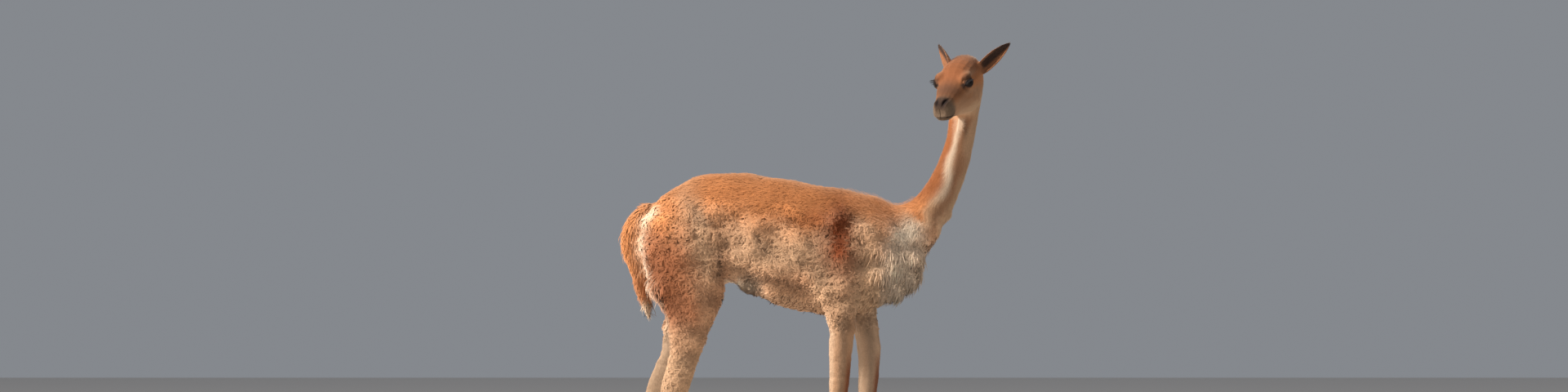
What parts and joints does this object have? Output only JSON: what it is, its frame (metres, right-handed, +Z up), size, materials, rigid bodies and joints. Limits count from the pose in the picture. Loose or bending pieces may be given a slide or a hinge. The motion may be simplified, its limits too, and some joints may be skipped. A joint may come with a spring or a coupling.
{
  "type": "vicuna",
  "caption": "Life-size still model of a standing vicuna, its long neck upright and its head turned back over the right shoulder.",
  "frame": {"origin": "on the floor, at the middle of the bounding box's base", "axes": "+X along the body towards the chest, +Y to the animal's left, +Z up"},
  "size_m": [1.1318, 0.3328, 1.2981],
  "materials": {
    "coat": "fine curly wool, cinnamon above, cream below",
    "pad": "short pale hair over leathery pads",
    "nail": "dark horn, dull with a slight polish",
    "eye": "wet, very dark brown"
  },
  "bodies": {
    "root": {"head": "coat", "neck": "coat", "trunk": "coat", "tail": "coat", "ear_left": "coat", "eye_left": "eye", "ear_right": "coat", "eye_right": "eye", "foreleg_left": "coat", "foot_foreleg_left": "pad", "nail_foreleg_left_outer": "nail", "nail_foreleg_left_inner": "nail", "foreleg_right": "coat", "foot_foreleg_right": "pad", "nail_foreleg_right_outer": "nail", "nail_foreleg_right_inner": "nail", "hindleg_left": "coat", "foot_hindleg_left": "pad", "nail_hindleg_left_outer": "nail", "nail_hindleg_left_inner": "nail", "hindleg_right": "coat", "foot_hindleg_right": "pad", "nail_hindleg_right_outer": "nail", "nail_hindleg_right_inner": "nail"}
  },
  "joints": []
}
